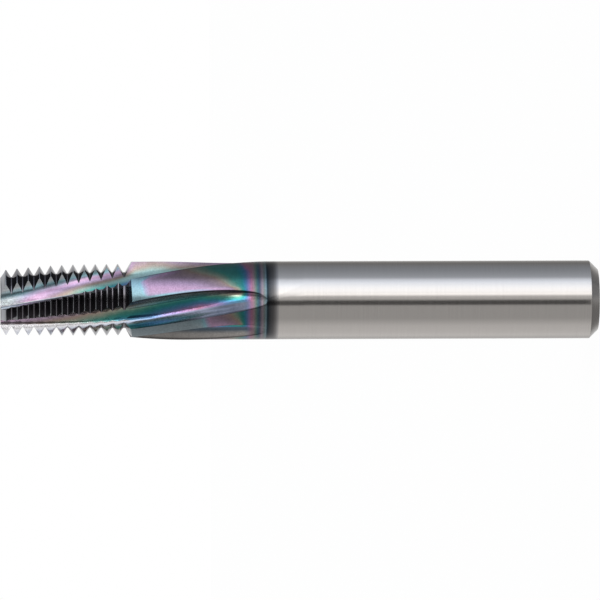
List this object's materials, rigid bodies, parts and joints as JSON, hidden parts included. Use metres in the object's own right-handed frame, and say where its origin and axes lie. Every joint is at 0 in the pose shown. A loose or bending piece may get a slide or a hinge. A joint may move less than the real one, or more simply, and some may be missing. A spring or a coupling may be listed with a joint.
{
  "type": "thread mill",
  "caption": "Solid carbide thread mill for tapered pipe thread: round shank, left-hand flutes that run out, and relieved rows of V teeth on a slight taper.",
  "frame": {"origin": "centre of the flat end face of the shank, on which the tool stands", "axes": "+Z along the tool's axis, from the shank end to the cutting head; -Y faces the side that the picture shows, +X is up in the picture"},
  "size_m": [0.0126, 0.0126, 0.0971],
  "materials": {
    "carbide": "ground carbide, bare on the shank and with a thin iridescent coating on the fluted head"
  },
  "bodies": {
    "root": {"thread_mill": "carbide"}
  },
  "joints": []
}
